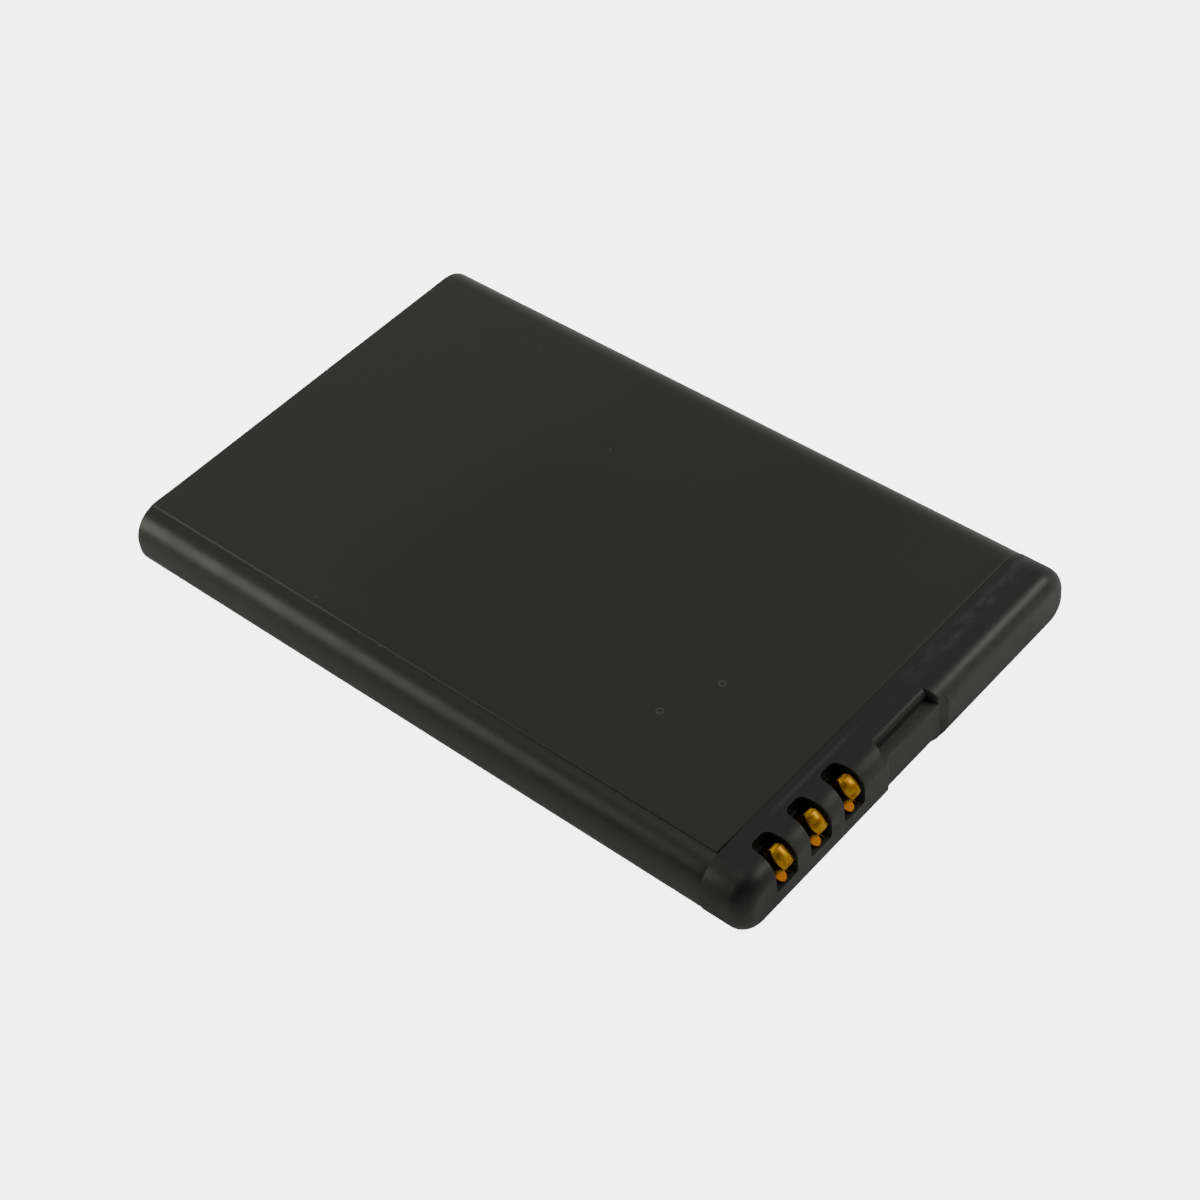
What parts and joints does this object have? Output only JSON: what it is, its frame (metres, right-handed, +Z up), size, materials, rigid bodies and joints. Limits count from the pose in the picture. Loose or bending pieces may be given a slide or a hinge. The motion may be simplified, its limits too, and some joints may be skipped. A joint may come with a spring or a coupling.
{
  "type": "rechargeable battery pack",
  "caption": "Flat rechargeable battery pack: a film-wrapped cell with a moulded end cap, gold contacts recessed in slots near one corner and a latch notch.",
  "frame": {"origin": "on the resting face, under the middle of the pack", "axes": "+X along the length towards the contact end, +Y across the width away from the contacts' corner, +Z up through the face that carries the film's overlap"},
  "size_m": [0.054, 0.034, 0.0049],
  "materials": {
    "film": "black film with a fine matt grain",
    "cap": "black moulded plastic, satin",
    "gold": "gold plating on a copper alloy strip",
    "can": "drawn and annealed",
    "nickel": "nickel, dull",
    "pad": "black, dull",
    "tape": "white tissue tape",
    "gasket": "milky plastic",
    "fibre": "pressed fibre sheet",
    "fuse": "dark moulding",
    "board": "dark lacquer over glass fibre board",
    "chip": "black moulding compound",
    "resistor": "dark glaze",
    "capacitor": "plain fired ceramic"
  },
  "bodies": {
    "root": {"label": "film", "end_cap": "cap", "contact_positive": "gold", "contact_data": "gold", "contact_negative": "gold", "cell": "can", "back_pad": "pad", "back_tape": "tape", "terminal_gasket": "gasket", "negative_terminal": "nickel", "lid_insulator": "fibre", "weld_block": "nickel", "positive_strip": "nickel", "thermal_fuse": "fuse", "fuse_lead": "nickel", "negative_strip": "nickel", "protection_board": "board", "switch_transistor": "chip", "protection_chip": "chip", "data_resistor": "resistor", "filter_resistor": "resistor", "filter_capacitor": "capacitor"}
  },
  "joints": []
}
